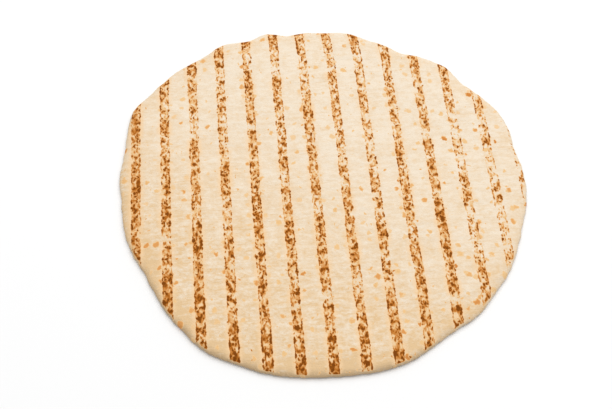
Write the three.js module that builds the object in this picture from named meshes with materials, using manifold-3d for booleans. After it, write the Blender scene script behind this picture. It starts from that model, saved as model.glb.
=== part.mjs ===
// A round griddled lavash: one thin, soft wheat flatbread lying flat, with an uneven hand-stretched
// outline, a rounded rim and the parallel stripes that hot griddle bars pressed into its top.
// Millimetres, +Z up, +Y along the stripes. The origin is on the resting face, midway across the outline.
import * as THREE from "three";
import { mergeVertices } from "three/addons/utils/BufferGeometryUtils.js";
import Module from "manifold-3d";

// The outline as it was stretched: bearing from +X in degrees, and how far the rim reaches there.
const RIM_STATIONS = [
  [0, 123], [9, 122.2], [15, 124.5], [23, 124.7], [30, 122.4], [38, 120.4], [44, 123],
  [49, 121.3], [54, 119.5], [59, 116.7], [65, 119], [71, 120], [77, 122.7], [86, 122],
  [91, 122.7], [96, 121.6], [102, 126.3], [108, 125], [116, 129.2], [123, 127.4], [132, 129.7],
  [144, 130.7], [150, 133], [156, 129.3], [164, 124.9], [173, 124], [180, 121.6], [191, 121.7],
  [207, 119.5], [219, 123.1], [226, 124.2], [234, 126.8], [241, 125.6], [257, 124.7], [264, 123.3],
  [284, 123.8], [302, 120.4], [311, 122], [319, 121.4], [327, 122], [341, 121.1], [354, 123.2],
];

// The section of the dough: a rim that is widest low down, a rounded shoulder, and a crust that goes on
// rising gently until it reaches its full thickness well inside the rim.
const THICKNESS = 5.2;
const SHOULDER_HEIGHT = 4;
const WIDEST_HEIGHT = 1.4;
const SHOULDER_WIDTH = 4;
const FOOT_WIDTH = 2.5;
const CROWN_RUN = 20;

// Low swells that the dough keeps after baking: crest spacing, heading of the crests' travel, and height.
const SWELLS = [
  { spacing: 96, heading: 35, height: 0.22 },
  { spacing: 61, heading: 118, height: 0.16 },
  { spacing: 43, heading: 250, height: 0.1 },
];
const SWELL_FADE = 14;

// The stripes that the griddle's bars pressed: flat floors with sloping sides. Within the run-out's two
// distances from the rim the floor climbs back to the crust, and just past it the stripe ends.
const STRIPE_COUNT = 13;
const STRIPE_PITCH = 18;
const FIRST_STRIPE_X = -112.6;
const STRIPE_WIDTH = 6;
const PRESS_DEPTH = 0.3;
const PRESS_SIDE_RUN = 0.5;
const RUN_OUT_START = 14;
const RUN_OUT_END = 4.5;
const STRIPE_END = 3.5;
const WALK_STEP = 1;
const BAR_HEIGHT = 1.5;

// How finely the curved stretches are faceted.
const RIM_SIDES = 180;
const SHOULDER_STEPS = 4;
const FOOT_STEPS = 2;
const CRUST_CELL = 8;
const STRIPE_STEP = 12;
const SOLE_LOOPS = [
  { sides: 6, share: 0.45 },
  { sides: 36, share: 0.85 },
];

const CRUST_COLOUR = 0xf3e1c4;
const CRUST_ROUGHNESS = 0.85;

const wasm = await Module();
wasm.setup();
const { degToRad, radToDeg, euclideanModulo, lerp, mapLinear, smoothstep } = THREE.MathUtils;

const threeTurns = [-360, 0, 360].flatMap((turn) =>
  RIM_STATIONS.map(([bearing, reach]) => [bearing + turn, reach]),
);
const rimCurve = new THREE.CubicInterpolant(
  threeTurns.map(([bearing]) => bearing),
  threeTurns.map(([, reach]) => reach),
  1,
);

// How far the rim reaches from the stretching centre on one bearing, in degrees.
function rimReach(bearing) {
  return rimCurve.evaluate(euclideanModulo(bearing, 360))[0];
}

// A point on one bearing, measured from the stretching centre.
function polar(bearing, reach) {
  const angle = degToRad(bearing);
  return new THREE.Vector2(reach * Math.cos(angle), reach * Math.sin(angle));
}

// Bearings spread evenly round one turn.
function bearingsRound(count) {
  return Array.from({ length: count }, (_, i) => (360 * i) / count);
}

// The middle of the outline's box, seen from the stretching centre.
const outlineMiddle = new THREE.Box2()
  .setFromPoints(bearingsRound(RIM_SIDES).map((bearing) => polar(bearing, rimReach(bearing))))
  .getCenter(new THREE.Vector2());

// How far inside the rim a point lies, measured towards the stretching centre.
function insetAt(x, y) {
  const arm = new THREE.Vector2(x, y).add(outlineMiddle);
  return rimReach(radToDeg(arm.angle())) - arm.length();
}

// Height of the low swells at a point.
function swellAt(x, y) {
  return SWELLS.reduce((sum, { spacing, heading, height }) => {
    const along = polar(heading, 1).dot(new THREE.Vector2(x, y));
    return sum + height * Math.sin((2 * Math.PI * along) / spacing);
  }, 0);
}

// Height of the top crust before the bars press it: a rounded shoulder, the crown above it and the swells.
function crustHeight(x, y) {
  const inset = Math.max(insetAt(x, y), 0);
  const onShoulder = 1 - Math.min(inset / SHOULDER_WIDTH, 1);
  const shoulder = (SHOULDER_HEIGHT - WIDEST_HEIGHT) * Math.sqrt(1 - onShoulder * onShoulder);
  const onCrown = 1 - Math.min(inset / CROWN_RUN, 1);
  const crown = (THICKNESS - SHOULDER_HEIGHT) * (1 - onCrown * onCrown);
  return WIDEST_HEIGHT + shoulder + crown + swellAt(x, y) * smoothstep(inset, 0, SWELL_FADE);
}

// Triangles between two loops of points that run counter-clockwise, each with its own number of points.
// They look up where the first loop lies outside the second, and down where it lies inside.
function stitch(first, second) {
  const triangles = [];
  let i = 0;
  let j = 0;
  while (i < first.length || j < second.length) {
    const a = first[i % first.length];
    const b = second[j % second.length];
    const firstIsBehind = (i + 1) * second.length <= (j + 1) * first.length;
    i += firstIsBehind ? 1 : 0;
    j += firstIsBehind ? 0 : 1;
    const next = firstIsBehind ? first[i % first.length] : second[j % second.length];
    if (next !== a && next !== b) triangles.push(a, next, b);
  }
  return triangles;
}

// The stretched disc of dough: a flat resting face, a rounded rim and the swelling top crust.
function doughGeometry() {
  const positions = [];
  const flat = () => 0;

  // A loop like the outline, drawn in by an inset and then to a share of what is left.
  const loop = (sides, inset, share, heightAt) =>
    bearingsRound(sides).map((bearing) => {
      const { x, y } = polar(bearing, share * (rimReach(bearing) - inset)).sub(outlineMiddle);
      return positions.push(x, y, heightAt(x, y)) / 3 - 1;
    });
  const quarterTurn = (steps) => Array.from({ length: steps }, (_, i) => (Math.PI / 2) * ((i + 1) / steps));
  const middle = (heightAt) => loop(1, 0, 0, heightAt);

  const sole = SOLE_LOOPS.map(({ sides, share }) => loop(sides, FOOT_WIDTH, share, flat));
  const soleEdge = loop(RIM_SIDES, FOOT_WIDTH, 1, flat);
  const foot = quarterTurn(FOOT_STEPS).map((angle) =>
    loop(RIM_SIDES, FOOT_WIDTH * (1 - Math.sin(angle)), 1, () => WIDEST_HEIGHT * (1 - Math.cos(angle))),
  );
  const shoulder = quarterTurn(SHOULDER_STEPS).map((angle) =>
    loop(RIM_SIDES, SHOULDER_WIDTH * (1 - Math.cos(angle)), 1, crustHeight),
  );

  const crustReach = rimReach(0) - SHOULDER_WIDTH;
  const ringCount = Math.round(crustReach / CRUST_CELL);
  const crust = Array.from({ length: ringCount - 1 }, (_, i) => {
    const share = 1 - (i + 1) / ringCount;
    const sides = Math.round((2 * Math.PI * share * crustReach) / CRUST_CELL);
    return loop(sides, SHOULDER_WIDTH, share, crustHeight);
  });

  const loops = [middle(flat), ...sole, soleEdge, ...foot, ...shoulder, ...crust, middle(crustHeight)];
  return new THREE.BufferGeometry()
    .setAttribute("position", new THREE.Float32BufferAttribute(positions, 3))
    .setIndex(loops.slice(1).flatMap((next, i) => stitch(loops[i], next)));
}

// The line along the middle of a stripe's floor: it follows the crust, and lifts off it towards both ends.
class StripeFloor extends THREE.Curve {
  constructor(x) {
    super();
    this.x = x;
    this.front = this.walkOut(-1);
    this.back = this.walkOut(1);
  }

  // Walks along the stripe from its middle until the rim is near.
  walkOut(direction) {
    let y = 0;
    while (insetAt(this.x, y) > STRIPE_END) y += direction * WALK_STEP;
    return y;
  }

  getPoint(share) {
    const y = lerp(this.front, this.back, share);
    const pressed = Math.min(mapLinear(insetAt(this.x, y), RUN_OUT_END, RUN_OUT_START, 0, 1), 1);
    return new THREE.Vector3(this.x, y, crustHeight(this.x, y) - PRESS_DEPTH * pressed);
  }
}

// One hot bar, as far as it sinks into the dough: a flared section drawn along the stripe's floor. The floor
// rises from its front end, so the section is drawn with its first axis along -X and its second up.
function barGeometry(x) {
  const floorHalf = STRIPE_WIDTH / 2 - PRESS_SIDE_RUN;
  const topHalf = floorHalf + (BAR_HEIGHT / PRESS_DEPTH) * PRESS_SIDE_RUN;
  const section = new THREE.Shape([
    new THREE.Vector2(-floorHalf, 0),
    new THREE.Vector2(floorHalf, 0),
    new THREE.Vector2(topHalf, BAR_HEIGHT),
    new THREE.Vector2(-topHalf, BAR_HEIGHT),
  ]);
  const floor = new StripeFloor(x);
  const steps = Math.ceil((floor.back - floor.front) / STRIPE_STEP);
  const bar = new THREE.ExtrudeGeometry(section, { steps, bevelEnabled: false, extrudePath: floor });
  bar.deleteAttribute("normal");
  bar.deleteAttribute("uv");
  return bar;
}

function toSolid(geometry) {
  const merged = mergeVertices(geometry);
  return new wasm.Manifold(
    new wasm.Mesh({
      numProp: 3,
      vertProperties: merged.getAttribute("position").array,
      triVerts: new Uint32Array(merged.getIndex().array),
    }),
  );
}

function toGeometry(solid) {
  const { vertProperties, triVerts } = solid.getMesh();
  const geometry = new THREE.BufferGeometry()
    .setAttribute("position", new THREE.BufferAttribute(vertProperties, 3))
    .setIndex(new THREE.BufferAttribute(triVerts, 1));
  geometry.computeVertexNormals();
  return geometry;
}

const stripes = Array.from({ length: STRIPE_COUNT }, (_, i) => FIRST_STRIPE_X + i * STRIPE_PITCH);
const pressedDough = stripes.reduce(
  (dough, x) => dough.subtract(toSolid(barGeometry(x))),
  toSolid(doughGeometry()),
);

const flatbread = new THREE.Mesh(
  toGeometry(pressedDough),
  new THREE.MeshStandardMaterial({ color: CRUST_COLOUR, roughness: CRUST_ROUGHNESS, metalness: 0 }),
);
flatbread.name = "flatbread";

const lavash = new THREE.Group();
lavash.name = "lavash";
lavash.add(flatbread);

export default lavash;
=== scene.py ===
import math

import bpy
import mathutils
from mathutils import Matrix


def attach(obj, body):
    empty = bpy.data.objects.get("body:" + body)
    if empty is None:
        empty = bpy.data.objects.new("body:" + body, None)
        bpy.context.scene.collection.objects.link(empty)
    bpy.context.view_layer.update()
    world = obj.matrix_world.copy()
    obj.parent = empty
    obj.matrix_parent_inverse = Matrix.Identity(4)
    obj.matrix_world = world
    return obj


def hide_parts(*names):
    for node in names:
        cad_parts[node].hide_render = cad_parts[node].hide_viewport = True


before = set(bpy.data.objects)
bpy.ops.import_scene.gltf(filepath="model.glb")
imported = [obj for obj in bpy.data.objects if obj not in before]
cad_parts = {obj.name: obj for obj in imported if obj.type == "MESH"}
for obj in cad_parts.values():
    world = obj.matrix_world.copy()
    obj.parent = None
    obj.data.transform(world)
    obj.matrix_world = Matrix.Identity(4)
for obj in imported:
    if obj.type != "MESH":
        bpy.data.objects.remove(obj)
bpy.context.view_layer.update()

# The bread. A round of soft wheat dough is stretched by hand, baked on a flat plate and then pressed under
# hot griddle bars. It is one piece: a pale, floury crust over a thin crumb, with a rounded rim, a lumpy
# skin, small oven blisters, and the toasted stripes that the bars leave on both faces.
MM = 0.001
SEAM = 0.01 * MM
SKIN_MESH = 1.1 * MM
SKIN_SMOOTHING = 4

bread_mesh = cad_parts["flatbread"].data.copy()
bread_mesh.name = "crust"
bread = bpy.data.objects.new("crust", bread_mesh)
bpy.context.scene.collection.objects.link(bread)
bpy.ops.object.select_all(action="DESELECT")
bread.select_set(True)
bpy.context.view_layer.objects.active = bread

bpy.ops.object.mode_set(mode="EDIT")
bpy.ops.mesh.select_all(action="SELECT")
bpy.ops.mesh.remove_doubles(threshold=SEAM)
bpy.ops.object.mode_set(mode="OBJECT")


def apply_modifier(piece, label, kind, **settings):
    """Adds one modifier with these settings and applies it to the mesh."""
    modifier = piece.modifiers.new(label, kind)
    for name, value in settings.items():
        setattr(modifier, name, value)
    bpy.ops.object.modifier_apply(modifier=modifier.name)


apply_modifier(bread, "even skin", "REMESH", mode="VOXEL", voxel_size=SKIN_MESH)
apply_modifier(bread, "soft edges", "SMOOTH", factor=0.5, iterations=SKIN_SMOOTHING)

# The skin rises in low lumps where gas was trapped, and creases across the stripes where the dough was
# stretched. The rim wobbles a little, and the resting face only takes small hollows, so that the bread
# still lies flat. Smoothing drew the rim in, so it first swells back out to its full reach.
WIDEST_HEIGHT = 1.4 * MM
RIM_SWELL = 0.25 * MM
CREASE_SIZE = 4 * MM
CREASE_HEIGHT = 0.4 * MM
CREASE_STRETCH = 6.0
HOLLOW_SIZE = 9 * MM
HOLLOW_DEPTH = 0.3 * MM


def rise(vertex):
    """How far up the lower side of the rim a point is: 0 on the plate, 1 from the rim's widest line up."""
    return min(max(vertex.co.z / WIDEST_HEIGHT, 0.0), 1.0)


def weigh_skin(label, weigh):
    """Gives each point of the skin its weight in a new vertex group, whose name comes back."""
    group = bread.vertex_groups.new(name=label)
    for vertex in bread.data.vertices:
        group.add([vertex.index], weigh(vertex), "REPLACE")
    return label


def dough_cloud(label, size, depth):
    """A soft cloudy height pattern whose lumps are about this size."""
    cloud = bpy.data.textures.new(label, "CLOUDS")
    cloud.noise_scale = size
    cloud.noise_depth = depth
    return cloud


rim_skin = weigh_skin("rim skin", lambda vertex: 1.0 - abs(vertex.normal.z))
upper_skin = weigh_skin("upper skin", rise)
resting_skin = weigh_skin("resting skin", lambda vertex: 1.0 - rise(vertex))
apply_modifier(bread, "rim swell", "DISPLACE", strength=RIM_SWELL, mid_level=0.0, vertex_group=rim_skin)
for label, size, depth, height, skin in (
    ("rim wobble", 7 * MM, 1, 1.0 * MM, rim_skin),
    ("broad lumps", 26 * MM, 1, 0.5 * MM, upper_skin),
    ("small lumps", 8 * MM, 2, 0.4 * MM, upper_skin),
):
    apply_modifier(
        bread, label, "DISPLACE", texture=dough_cloud(label, size, depth), texture_coords="LOCAL",
        strength=height, mid_level=0.5, vertex_group=skin,
    )
stretch_guide = bpy.data.objects.new("stretch guide", None)
stretch_guide.scale = (CREASE_STRETCH, 1.0, 1.0)
bpy.context.scene.collection.objects.link(stretch_guide)
bpy.context.view_layer.update()
apply_modifier(
    bread, "creases", "DISPLACE", texture=dough_cloud("creases", CREASE_SIZE, 1), texture_coords="OBJECT",
    texture_coords_object=stretch_guide, strength=CREASE_HEIGHT, mid_level=0.5, vertex_group=upper_skin,
)
bpy.data.objects.remove(stretch_guide)
apply_modifier(
    bread, "plate hollows", "DISPLACE", texture=dough_cloud("plate hollows", HOLLOW_SIZE, 2),
    texture_coords="LOCAL", direction="Z", strength=HOLLOW_DEPTH, mid_level=0.1, vertex_group=resting_skin,
)
bpy.ops.object.shade_smooth()

# The crust dries from the rim inwards, the front rim carries painted shade, and the stripes stop just short
# of the rim, so each point of the skin keeps its distance from the rim, in millimetres.
RIM_STEEPNESS = 0.3
RIM_DISTANCE = "rim distance"
rim_points = [vertex.co for vertex in bread.data.vertices if abs(vertex.normal.z) < RIM_STEEPNESS]
rim_tree = mathutils.kdtree.KDTree(len(rim_points))
for index, place in enumerate(rim_points):
    rim_tree.insert((place.x, place.y, 0.0), index)
rim_tree.balance()
rim_distance = bread.data.attributes.new(RIM_DISTANCE, "FLOAT", "POINT")
for vertex in bread.data.vertices:
    _, _, distance = rim_tree.find((vertex.co.x, vertex.co.y, 0.0))
    rim_distance.data[vertex.index].value = distance / MM

# The bars touch the skin in flecks: grains and round spots that run together, ragged at the stripe's sides
# and denser where the bread was pressed harder, with a line where a bar's edge bit. The group takes a flat
# point in millimetres and gives how toasted it is, and how far the bar's heat warmed the skin round it.
STRIPE_PITCH = 18.0
STRIPE_HALF_WIDTH = 3.0
STRIPE_WANDER = 1.0
WANDER_RUN = 14.0
RAGGEDNESS = 1.2
RAG_SIZE = 2.0
SIDE_BLUR = 0.6
OWN_STRIPE_SHIFT = 37.0
OWN_SIDE_SHIFT = 11.0
LONG_PRESS_RUN = 22.0
SHORT_PRESS_RUN = 5.0
SHORT_PRESS = 0.2
EDGE_DEPTH = 1.0
EDGE_FULL_DEPTH = 0.4
EDGE_RUN = 0.5
EDGE_DRAW = (0.48, 0.62)
EDGE_PRESS = 0.4
FLECK_STRETCH = 0.7
GRAIN_SIZE = 2.8
GRAIN_HEAT = 2.0
SPOT_WAVES = 2.5
SPOT_WAVE_REACH = 2.0
SPOT_SPACINGS_AND_HEATS = ((1.6, 0.9), (3.0, 0.6))
BARE_SKIN_HEAT = -1.7
HEAT_RANGE = (0.94, 2.52)
BROWNING_POWER = 2.4
WARM_PRESSES = (0.4, 0.8)
WARM_REACH = 3.0


def feed(tree, value, socket):
    """Links another node's output to this input, or sets the input to a plain value."""
    if isinstance(value, bpy.types.NodeSocket):
        tree.links.new(value, socket)
    else:
        socket.default_value = value


def add_node(tree, kind, sockets=None, **settings):
    """One shader node with its settings and its named inputs fed."""
    node = tree.nodes.new(kind)
    for name, value in settings.items():
        setattr(node, name, value)
    for name, value in (sockets or {}).items():
        feed(tree, value, node.inputs[name])
    return node


def maths(tree, operation, *values):
    """The result of one maths node."""
    return add_node(tree, "ShaderNodeMath", dict(enumerate(values)), operation=operation).outputs[0]


def vector_maths(tree, operation, *values):
    """The result of one vector maths node."""
    node = add_node(tree, "ShaderNodeVectorMath", dict(enumerate(values)), operation=operation)
    return node.outputs["Vector"]


def ease(tree, value, low, high, to_low=0.0, to_high=1.0, shape="SMOOTHSTEP"):
    """A step of a value from one level to another, smooth unless another shape is asked for."""
    sockets = {"Value": value, "From Min": low, "From Max": high, "To Min": to_low, "To Max": to_high}
    return add_node(tree, "ShaderNodeMapRange", sockets, interpolation_type=shape).outputs["Result"]


def noise_node(tree, point, size, detail, distortion=0.0):
    """Cloudy noise over a flat point in millimetres, with lumps of about this size."""
    sockets = {"Vector": point, "Scale": 1.0 / size, "Detail": detail, "Distortion": distortion}
    return add_node(tree, "ShaderNodeTexNoise", sockets, noise_dimensions="2D").outputs


def noise(tree, point, size, detail=1.0, distortion=0.0):
    """The level of such noise, from 0 to 1."""
    return noise_node(tree, point, size, detail, distortion)["Fac"]


def swing(tree, value, reach):
    """A value from 0 to 1, turned into one that swings about 0 with this reach from end to end."""
    return maths(tree, "MULTIPLY_ADD", value, reach, -reach / 2)


def jostle(tree, point, size, detail, reach, start):
    """A flat start point, pushed along by up to this reach in waves of this size over another point."""
    waves = noise_node(tree, point, size, detail)["Color"]
    return vector_maths(tree, "MULTIPLY_ADD", waves, (reach, reach, 0.0), start)


def split(tree, vector):
    """The three parts of a vector."""
    return add_node(tree, "ShaderNodeSeparateXYZ", {"Vector": vector}).outputs


def join(tree, x, y):
    """A flat vector from its two parts."""
    return add_node(tree, "ShaderNodeCombineXYZ", {"X": x, "Y": y}).outputs["Vector"]


def spots(tree, point, spacing):
    """Soft round spots over a flat point, one to each cell of this spacing, each with its own strength."""
    sockets = {"Vector": point, "Scale": 1.0 / spacing}
    cells = add_node(tree, "ShaderNodeTexVoronoi", sockets, voronoi_dimensions="2D").outputs
    strength, _, _ = split(tree, cells["Color"])
    return maths(tree, "MULTIPLY", ease(tree, cells["Distance"], 0.55, 0.15), strength)


def new_group(label, inputs, outputs):
    """An empty shader group with named sockets: the tree, its inputs and its outputs."""
    tree = bpy.data.node_groups.new(label, "ShaderNodeTree")
    for name, kind in inputs.items():
        tree.interface.new_socket(name, in_out="INPUT", socket_type=kind)
    for name, kind in outputs.items():
        tree.interface.new_socket(name, in_out="OUTPUT", socket_type=kind)
    return tree, tree.nodes.new("NodeGroupInput").outputs, tree.nodes.new("NodeGroupOutput").inputs


griddle, given, result = new_group(
    "griddle toast",
    {
        "Point": "NodeSocketVector", "First stripe": "NodeSocketFloat", "Pressure": "NodeSocketFloat",
        "Edge bite": "NodeSocketFloat",
    },
    {"Toast": "NodeSocketFloat", "Warmth": "NodeSocketFloat"},
)
point = given["Point"]
across, along, _ = split(griddle, point)
wander = swing(griddle, noise(griddle, point, WANDER_RUN), STRIPE_WANDER)
from_first = maths(griddle, "SUBTRACT", maths(griddle, "ADD", across, wander), given["First stripe"])
turn = maths(griddle, "DIVIDE", from_first, STRIPE_PITCH)
stripe = maths(griddle, "ROUND", turn)
off_middle = maths(griddle, "MULTIPLY", maths(griddle, "SUBTRACT", turn, stripe), STRIPE_PITCH)
ragged = swing(griddle, noise(griddle, point, RAG_SIZE, 2.0), RAGGEDNESS)
from_middle = maths(griddle, "ADD", maths(griddle, "ABSOLUTE", off_middle), ragged)
bare_skin = ease(griddle, from_middle, STRIPE_HALF_WIDTH - SIDE_BLUR, STRIPE_HALF_WIDTH + SIDE_BLUR)

own_stripe = maths(griddle, "MULTIPLY", stripe, OWN_STRIPE_SHIFT)
own_line = join(griddle, own_stripe, maths(griddle, "DIVIDE", along, LONG_PRESS_RUN))
long_press = noise(griddle, own_line, 1.0, 2.0)
short_press = noise(griddle, point, SHORT_PRESS_RUN)
press = maths(griddle, "MULTIPLY_ADD", short_press, SHORT_PRESS, long_press)
press = maths(griddle, "ADD", press, given["Pressure"])

own_side = maths(griddle, "MULTIPLY", maths(griddle, "SIGN", off_middle), OWN_SIDE_SHIFT)
edge_line = vector_maths(griddle, "ADD", own_line, join(griddle, own_side, 0.0))
edge_press = ease(griddle, noise(griddle, edge_line, EDGE_RUN), *EDGE_DRAW, given["Edge bite"], EDGE_PRESS)
full_edge = STRIPE_HALF_WIDTH - EDGE_FULL_DEPTH
bar_edge = ease(griddle, from_middle, STRIPE_HALF_WIDTH - EDGE_DEPTH, full_edge)

drawn_out = vector_maths(griddle, "MULTIPLY", point, (1.0, FLECK_STRETCH, 1.0))
fleck = maths(griddle, "MULTIPLY", noise(griddle, drawn_out, GRAIN_SIZE, 1.5, 0.5), GRAIN_HEAT)
wavy_point = jostle(griddle, point, SPOT_WAVES, 1.0, SPOT_WAVE_REACH, drawn_out)
for spacing, spot_heat in SPOT_SPACINGS_AND_HEATS:
    fleck = maths(griddle, "MULTIPLY_ADD", spots(griddle, wavy_point, spacing), spot_heat, fleck)
fleck = maths(griddle, "MULTIPLY_ADD", bar_edge, edge_press, fleck)
fleck = maths(griddle, "MULTIPLY_ADD", bare_skin, BARE_SKIN_HEAT, fleck)
heat = ease(griddle, maths(griddle, "ADD", fleck, press), *HEAT_RANGE, shape="LINEAR")
toast = maths(griddle, "POWER", heat, BROWNING_POWER)
near_bar = ease(griddle, from_middle, STRIPE_HALF_WIDTH + WARM_REACH, full_edge)
warmth = maths(griddle, "MULTIPLY", ease(griddle, press, *WARM_PRESSES), near_bar)
griddle.links.new(toast, result["Toast"])
griddle.links.new(warmth, result["Warmth"])

# Oven blisters: small rises of the skin that browned in the oven, soft-edged and uneven in shape. The group
# takes a flat point in millimetres, the cell that each blister has to itself, the share of cells that have
# one, the usual radius and how brown the brownest gets.
BLISTER_WAVES = 3.0
BLISTER_WAVE_REACH = 3.4
SMALLEST_RADIUS = 0.5
RADIUS_SPREAD = 0.9
FULL_CORE = 0.4
PALEST = 0.25
PALE_BIAS = 3.0
blisters, given, result = new_group(
    "oven blisters",
    {
        "Point": "NodeSocketVector", "Cell": "NodeSocketFloat", "Share": "NodeSocketFloat",
        "Radius": "NodeSocketFloat", "Brownest": "NodeSocketFloat",
    },
    {"Blister": "NodeSocketFloat"},
)
warped = jostle(blisters, given["Point"], BLISTER_WAVES, 2.0, BLISTER_WAVE_REACH, given["Point"])
spread = add_node(
    blisters, "ShaderNodeTexVoronoi",
    {"Vector": warped, "Scale": maths(blisters, "DIVIDE", 1.0, given["Cell"])}, voronoi_dimensions="2D",
).outputs
chance, size_draw, shade_draw = split(blisters, spread["Color"])
radius = maths(blisters, "MULTIPLY_ADD", size_draw, RADIUS_SPREAD, SMALLEST_RADIUS)
radius = maths(blisters, "MULTIPLY", given["Radius"], radius)
distance = maths(blisters, "MULTIPLY", spread["Distance"], given["Cell"])
core = ease(blisters, maths(blisters, "DIVIDE", distance, radius), 1.0, FULL_CORE)
there = maths(blisters, "LESS_THAN", chance, given["Share"])
shade = maths(blisters, "POWER", shade_draw, PALE_BIAS)
shade = maths(blisters, "MULTIPLY_ADD", shade, 1.0 - PALEST, PALEST)
shade = maths(blisters, "MULTIPLY", shade, given["Brownest"])
blister = maths(blisters, "MULTIPLY", maths(blisters, "MULTIPLY", core, there), shade)
blisters.links.new(blister, result["Blister"])

# The crust's finish: cream dough that dried darker towards the front left and round the rim, with mottling,
# fine pores and faint stretch lines across the stripes, and painted shade at the front rim, along the
# stretch lines and over the skin's relief towards the front left. The blisters and the toasted stripes lie
# over it.
# Colours are linear, and the two browning scales run from the first touch of heat to the brownest.
CREAM = (0.761, 0.655, 0.52, 1.0)
DRIED = (0.68, 0.48, 0.27, 1.0)
# The dark brown of the painted shade on the front rim's side, where shade falls.
RIM_SHADE_COLOUR = (0.40, 0.28, 0.16, 1.0)
WARMED = (0.79, 0.55, 0.32, 1.0)
TOASTED = (
    (0.0, (0.755, 0.56, 0.36, 1.0)),
    (0.14, (0.72, 0.465, 0.22, 1.0)),
    (0.28, (0.62, 0.298, 0.10, 1.0)),
    (0.42, (0.515, 0.197, 0.037, 1.0)),
    (0.56, (0.42, 0.13, 0.012, 1.0)),
    (0.7, (0.3, 0.083, 0.003, 1.0)),
    (1.0, (0.19, 0.05, 0.001, 1.0)),
)
BLISTERED = (
    (0.0, (0.755, 0.56, 0.36, 1.0)),
    (0.2, (0.74, 0.475, 0.22, 1.0)),
    (0.4, (0.67, 0.315, 0.10, 1.0)),
    (0.6, (0.55, 0.20, 0.04, 1.0)),
)
FRONT = (-0.3, -0.95)
FRONT_LEFT = (-0.5, -0.85)

crust = bpy.data.materials.new("crust")
crust.use_nodes = True
tree = crust.node_tree
tree.nodes.clear()
coordinates = add_node(tree, "ShaderNodeTexCoord").outputs
x, y, _ = split(tree, vector_maths(tree, "MULTIPLY", coordinates["Object"], (1 / MM,) * 3))
flat_point = join(tree, x, y)
upward = split(tree, coordinates["Normal"])["Z"]
inset = add_node(tree, "ShaderNodeAttribute", attribute_name=RIM_DISTANCE).outputs["Fac"]


def towards(side):
    """How far a point lies from the bread's middle towards one side, in millimetres."""
    along_x, along_y = side
    return maths(tree, "MULTIPLY_ADD", x, along_x, maths(tree, "MULTIPLY", y, along_y))


towards_front = towards(FRONT)
towards_front_left = towards(FRONT_LEFT)

# How hard the bars pressed: harder towards the front left and at the stripes' ends, and hardly at the right
# rim. Each stretch where a bar pressed lighter or firmer than that has its stripe's number, its middle and
# half length along the stripe, and its press. The stripes bend a little where the far rim was pulled.
FIRST_STRIPE = -112.6
UNDERSIDE_FIRST_STRIPE = -105.4
PRESS_PER_MM = 0.0009
MIDDLE_PRESS = -0.03
RIGHT_PRESSES = ((70.0, 104.0, -0.14), (113.0, 119.0, -0.32))
RIM_PRESSES = ((14.0, 5.0, 0.12), (2.4, 1.4, 0.12))
PRESS_STRETCHES = (
    (1, 60, 4, -0.6), (1, 33, 5, -0.3), (1, -30, 4, -0.55), (1, -78, 9, 0.35),
    (2, 42, 5, -0.65), (2, -60, 15, 0.4),
    (3, 79, 11, -0.65), (3, 38, 12, -0.4), (3, -5, 8, 0.25), (3, -27, 11, -0.5),
    (4, 54, 9, 0.35), (4, -30, 10, 0.6),
    (5, 91, 9, -0.75), (5, 42, 9, -0.35), (5, 8, 10, -0.3), (5, -66, 9, -0.35), (5, -80, 4, -0.5),
    (6, 88, 9, -0.4), (6, -18, 4, -0.65), (6, -75, 10, -0.95), (6, -102, 9, 0.5),
    (7, 88, 3, -0.8), (7, 42, 9, -0.45), (7, 22, 10, -0.4), (7, -2, 3, -0.8), (7, -49, 10, 0.4),
    (7, -70, 11, -0.7),
    (8, 50, 9, -0.4), (8, 24, 18, -0.55), (8, 8, 9, -0.5), (8, -24, 13, -0.4), (8, -102, 9, 0.45),
    (9, 102, 9, -0.5), (9, 18, 9, 0.25), (9, -12, 12, -0.3), (9, -96, 12, 0.3),
    (10, 33, 7, -1.4), (10, -20, 110, 0.2), (10, -83, 4, -1.4),
    (11, 44, 5, -0.5), (11, 32, 8, -1.3), (11, 8, 9, -0.5), (11, -31, 9, -0.55), (11, -42, 8, -0.4),
    (11, -53, 8, -0.5), (11, -90, 11, -1.1),
    (12, 60, 12, -0.4), (12, 24, 12, 0.35), (12, -5, 5, -0.6), (12, -27, 6, -0.8), (12, -50, 20, -0.6),
    (12, -66, 9, -0.9),
    (13, 3, 5, -0.8), (13, -18, 10, -1.0),
)
FAR_BEND = 2.5
FAR_BEND_CENTRE = (25.0, 125.0)
FAR_BEND_SIZE = (60.0, 40.0)
EDGE_BITE = 0.35


def patch(centre, half_size):
    """A soft oval patch of the bread: 1 at its centre, falling to 0 at its half size."""
    offset = vector_maths(tree, "SUBTRACT", flat_point, (*centre, 0.0))
    reach = vector_maths(tree, "DIVIDE", offset, (*half_size, 1.0))
    node = add_node(tree, "ShaderNodeTexGradient", {"Vector": reach}, gradient_type="QUADRATIC_SPHERE")
    return node.outputs["Fac"]


def place_group(group, sockets):
    """The outputs of one copy of a group in the crust."""
    return add_node(tree, "ShaderNodeGroup", sockets, node_tree=group).outputs


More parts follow.
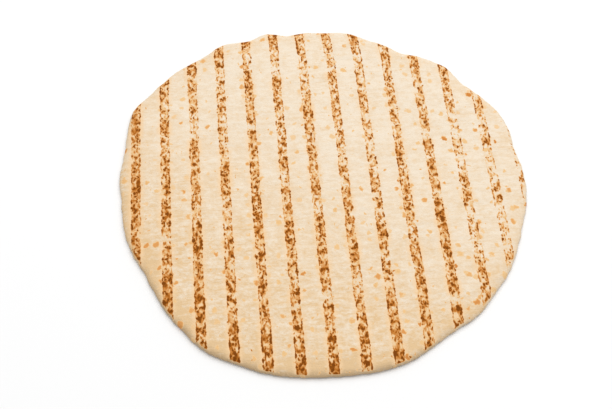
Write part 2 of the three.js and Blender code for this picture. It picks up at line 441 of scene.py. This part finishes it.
pressure = maths(tree, "MULTIPLY_ADD", towards_front_left, PRESS_PER_MM, MIDDLE_PRESS)
for place, presses in ((x, RIGHT_PRESSES), (inset, RIM_PRESSES)):
    for start, end, press in presses:
        pressure = maths(tree, "ADD", pressure, ease(tree, place, start, end, 0.0, press))
for stripe_number, middle, half_length, press in PRESS_STRETCHES:
    centre = (FIRST_STRIPE + STRIPE_PITCH * stripe_number, middle)
    stretch = patch(centre, (STRIPE_PITCH / 2, half_length))
    pressure = maths(tree, "MULTIPLY_ADD", stretch, press, pressure)
bend = maths(tree, "MULTIPLY", patch(FAR_BEND_CENTRE, FAR_BEND_SIZE), FAR_BEND)
bent_point = vector_maths(tree, "ADD", flat_point, join(tree, bend, 0.0))
near_end = ease(tree, maths(tree, "ABSOLUTE", y), 20.0, 80.0, 0.0, EDGE_BITE)
edge_bite = maths(tree, "MULTIPLY", ease(tree, inset, 28.0, 6.0), near_end)
top = place_group(
    griddle,
    {"Point": bent_point, "First stripe": FIRST_STRIPE, "Pressure": pressure, "Edge bite": edge_bite},
)
underside = place_group(
    griddle,
    {"Point": flat_point, "First stripe": UNDERSIDE_FIRST_STRIPE, "Pressure": 0.0, "Edge bite": 0.0},
)
clear_of_rim = ease(tree, inset, 0.6, 1.2)
on_top = maths(tree, "MULTIPLY", ease(tree, upward, 0.2, 0.4), clear_of_rim)
on_underside = maths(tree, "MULTIPLY", ease(tree, upward, -0.2, -0.4), clear_of_rim)


def on_both_faces(name):
    """One of the griddle's outputs, taken from the stripes of whichever face the point is on."""
    top_share = maths(tree, "MULTIPLY", top[name], on_top)
    return maths(tree, "MULTIPLY_ADD", underside[name], on_underside, top_share)


toast = on_both_faces("Toast")
warmth = on_both_faces("Warmth")

# Two kinds of blister rise from the skin: close-set pale ones all over, and browner ones that are commonest
# on the right and at the front. Each kind has its own cells, so that they fall independently.
PALE_CELL = 7.5
PALE_SHARE = 0.42
BROWN_CELL = 10.5
BLISTER_RADIUS = 1.8
OTHER_CELLS = (310.0, 420.0, 0.0)
pale_brownest = ease(tree, y, 0.0, -100.0, 0.44, 0.72)
pale_blisters = place_group(
    blisters,
    {
        "Point": flat_point, "Cell": PALE_CELL, "Share": PALE_SHARE, "Radius": BLISTER_RADIUS,
        "Brownest": pale_brownest,
    },
)["Blister"]
right_share = ease(tree, x, 20.0, 85.0, 0.12, 0.38)
brown_share = maths(tree, "ADD", right_share, ease(tree, y, 90.0, -100.0, -0.05, 0.2))
right_brownest = ease(tree, x, -40.0, 80.0, 0.36, 0.74)
brownest = maths(tree, "ADD", right_brownest, ease(tree, y, 90.0, -100.0, -0.08, 0.22))
brown_blisters = place_group(
    blisters,
    {
        "Point": vector_maths(tree, "ADD", flat_point, OTHER_CELLS), "Cell": BROWN_CELL,
        "Share": brown_share, "Radius": BLISTER_RADIUS, "Brownest": brownest,
    },
)["Blister"]

# How far the dough dried: hardly at the far side, more and more towards the front left, and most at the rim
# there, where the darker colour is partly real drying and partly painted shade. A film of flour and the
# stretching make it uneven, most of all where it dried, and the stronger unevenness towards the front left
# is partly painted shade of the skin's relief, with painted shade along the stretch lines.
FAR_DRYING = (0.0009, 0.21)
FRONT_DRYING = (0.0044, 0.27)
DRIEST = 0.58
DRYING_BLEND = 0.1
FILM_DRYING = 1.1
FLOUR_DRYING = 0.8
MOTTLE_DRYING = 0.65
# How dark the painted shade in the stretch lines' creases gets.
STRETCH_LINE_SHADE = 0.25


def squeezed(across_share, along_share):
    """The flat point with its two directions scaled, which draws a pattern out the other way."""
    return vector_maths(tree, "MULTIPLY", flat_point, (across_share, along_share, 1.0))


mottle = noise(tree, flat_point, 14.0, 3.0)
film = noise(tree, squeezed(0.5, 1.1), 3.0, 3.0)
flour = noise(tree, squeezed(0.75, 1.15), 1.5, 2.0)
stretch_lines = ease(tree, noise(tree, squeezed(0.08, 1.0), 1.6), 0.62, 0.8)
hardly_dried = maths(tree, "MULTIPLY_ADD", towards_front_left, *FAR_DRYING)
well_dried = maths(tree, "MULTIPLY_ADD", towards_front_left, *FRONT_DRYING)
dried = maths(tree, "SMOOTH_MAX", hardly_dried, well_dried, DRYING_BLEND)
dried = maths(tree, "SMOOTH_MIN", dried, DRIEST, DRYING_BLEND)
# Partly painted shade: the rim towards the front left is darkened further, partly as real drying and partly
# as painted shade on the rim's side.
rim_drying_and_shade = ease(tree, towards_front_left, 20.0, 115.0, 0.16, 0.52)
dried = maths(tree, "MULTIPLY_ADD", rim_drying_and_shade, ease(tree, inset, 16.0, 4.0), dried)
# Partly painted shade: the flour and film patterns grow stronger towards the front left, partly as real
# unevenness and partly as painted light and shade of the skin's relief.
unevenness_and_relief_shade = ease(tree, towards_front_left, 0.0, 90.0, 0.8, 1.4)
for pattern, amount in ((film, FILM_DRYING), (flour, FLOUR_DRYING)):
    uneven_tone_and_shade = maths(tree, "MULTIPLY", maths(tree, "SUBTRACT", pattern, 0.5), unevenness_and_relief_shade)
    dried = maths(tree, "MULTIPLY_ADD", uneven_tone_and_shade, amount, dried)
dried = maths(tree, "ADD", swing(tree, mottle, MOTTLE_DRYING), dried)
# Painted shade: the stretch lines are darkened in the colour, standing in for the shade in their creases.
stretch_line_shade = maths(tree, "MULTIPLY", unevenness_and_relief_shade, STRETCH_LINE_SHADE)
dried = maths(tree, "MULTIPLY_ADD", stretch_lines, stretch_line_shade, dried)

# The colours are laid over each other: the dried dough, then painted shade darkening the front rim's side,
# and then, in the order in which they came about, the skin that the bars warmed, the blisters and the
# toasted flecks.
# How strong the painted shade on the front rim's side gets.
RIM_SHADE_STRENGTH = 0.4
WARMING = 0.9
FIRST_BROWNING = 0.12


def mix_colours(share, first, second):
    """A share of the second colour laid over the first."""
    mixer = tree.nodes.new("ShaderNodeMix")
    mixer.data_type = "RGBA"
    inputs = {socket.identifier: socket for socket in mixer.inputs}
    for identifier, value in (("Factor_Float", share), ("A_Color", first), ("B_Color", second)):
        feed(tree, value, inputs[identifier])
    return next(socket for socket in mixer.outputs if socket.identifier == "Result_Color")


colour = mix_colours(dried, CREAM, DRIED)
# Painted shade: the front rim's side is darkened with a dark brown, towards the front and close to the rim.
painted_rim_shade = ease(tree, towards_front, 60.0, 105.0, 0.0, RIM_SHADE_STRENGTH)
painted_rim_shade = maths(tree, "MULTIPLY", painted_rim_shade, ease(tree, inset, 3.6, 0.8))
colour = mix_colours(painted_rim_shade, colour, RIM_SHADE_COLOUR)
colour = mix_colours(maths(tree, "MULTIPLY", warmth, WARMING), colour, WARMED)
blistered = maths(tree, "MAXIMUM", pale_blisters, brown_blisters)
for level, shades in ((blistered, BLISTERED), (toast, TOASTED)):
    browning = add_node(tree, "ShaderNodeValToRGB", {"Fac": level})
    stops = browning.color_ramp.elements
    stops.remove(stops[1])
    stops[0].position, stops[0].color = shades[0]
    for place, shade in shades[1:]:
        stops.new(place).color = shade
    colour = mix_colours(ease(tree, level, 0.0, FIRST_BROWNING), colour, browning.outputs["Color"])

# The finest relief, in millimetres: pores, small lumps, the risen brown blisters and the stretch lines.
# The film of flour makes the matt skin a little rougher or smoother from place to place.
PORE_HEIGHT = 0.22
LUMP_HEIGHT = 0.25
BLISTER_HEIGHT = 0.2
STRETCH_LINE_HEIGHT = -0.04
SMOOTHEST = 0.68
FILM_ROUGHNESS = 0.25
pores = noise(tree, flat_point, 0.9, 2.0)
lumps = noise(tree, flat_point, 4.0, 2.0)
height = maths(tree, "MULTIPLY", pores, PORE_HEIGHT)
for pattern, amount in (
    (lumps, LUMP_HEIGHT), (brown_blisters, BLISTER_HEIGHT), (stretch_lines, STRETCH_LINE_HEIGHT),
):
    height = maths(tree, "MULTIPLY_ADD", pattern, amount, height)
relief = add_node(tree, "ShaderNodeBump", {"Height": height, "Distance": MM, "Strength": 1.0})
roughness = maths(tree, "MULTIPLY_ADD", film, FILM_ROUGHNESS, SMOOTHEST)
surface = add_node(
    tree, "ShaderNodeBsdfPrincipled",
    {
        "Base Color": colour, "Roughness": roughness, "Specular IOR Level": 0.12,
        "Normal": relief.outputs["Normal"],
    },
)
add_node(tree, "ShaderNodeOutputMaterial", {"Surface": surface.outputs["BSDF"]})

bread.data.materials.clear()
bread.data.materials.append(crust)
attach(bread, "root")
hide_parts("flatbread")

# The surface that the bread lies on: a plain white sweep of matt board. It reaches well past the picture
# on every side, so that no edge of it shows, and it is stage and no part of the bread.
FLOOR_REACH = 6.0
BOARD_WHITE = (0.84, 0.84, 0.84, 1.0)
bpy.ops.object.select_all(action="DESELECT")
bpy.ops.mesh.primitive_circle_add(vertices=96, radius=FLOOR_REACH, fill_type="NGON")
floor = bpy.context.object
floor.name = "floor"
board = bpy.data.materials.new("white board")
board.use_nodes = True
board_shader = board.node_tree.nodes["Principled BSDF"]
board_shader.inputs["Base Color"].default_value = BOARD_WHITE
board_shader.inputs["Roughness"].default_value = 0.9
board_shader.inputs["Specular IOR Level"].default_value = 0.1
floor.data.materials.append(board)

# Studio light: one wide, round soft box on a stand above and a little behind the bread, tilted towards it,
# and a pale room that throws light back from every side.
ROOM_WHITE = (1.0, 1.0, 1.0, 1.0)
ROOM_STRENGTH = 0.55
SOFT_BOX_WIDTH = 3.0
SOFT_BOX_POWER = 52.5
SOFT_BOX_PLACE = (0.4, 0.74, 2.1)
SOFT_BOX_TILT = (math.radians(-19.1), math.radians(10.8), 0.0)
room = bpy.data.worlds.new("pale room")
room.use_nodes = True
room_light = room.node_tree.nodes["Background"]
room_light.inputs["Color"].default_value = ROOM_WHITE
room_light.inputs["Strength"].default_value = ROOM_STRENGTH
bpy.context.scene.world = room
soft_box = bpy.data.lights.new("soft box", "AREA")
soft_box.shape = "DISK"
soft_box.size = SOFT_BOX_WIDTH
soft_box.energy = SOFT_BOX_POWER
soft_box_stand = bpy.data.objects.new("soft box", soft_box)
soft_box_stand.location = SOFT_BOX_PLACE
soft_box_stand.rotation_euler = SOFT_BOX_TILT
bpy.context.scene.collection.objects.link(soft_box_stand)

# The camera looks down on the bread from the front, turned a little to the right of the stripes, through a
# short telephoto lens.
SENSOR_WIDTH = 36.0
LENS_LENGTH = 63.1
CAMERA_PLACE = (-0.0396, -0.3511, 0.5473)
CAMERA_TILT = (math.radians(32.0), 0.0, math.radians(-4.76))
lens = bpy.data.cameras.new("camera")
lens.sensor_width = SENSOR_WIDTH
lens.lens = LENS_LENGTH
camera = bpy.data.objects.new("camera", lens)
camera.location = CAMERA_PLACE
camera.rotation_euler = CAMERA_TILT
bpy.context.scene.collection.objects.link(camera)
bpy.context.scene.camera = camera
bpy.context.scene.view_settings.view_transform = "Standard"
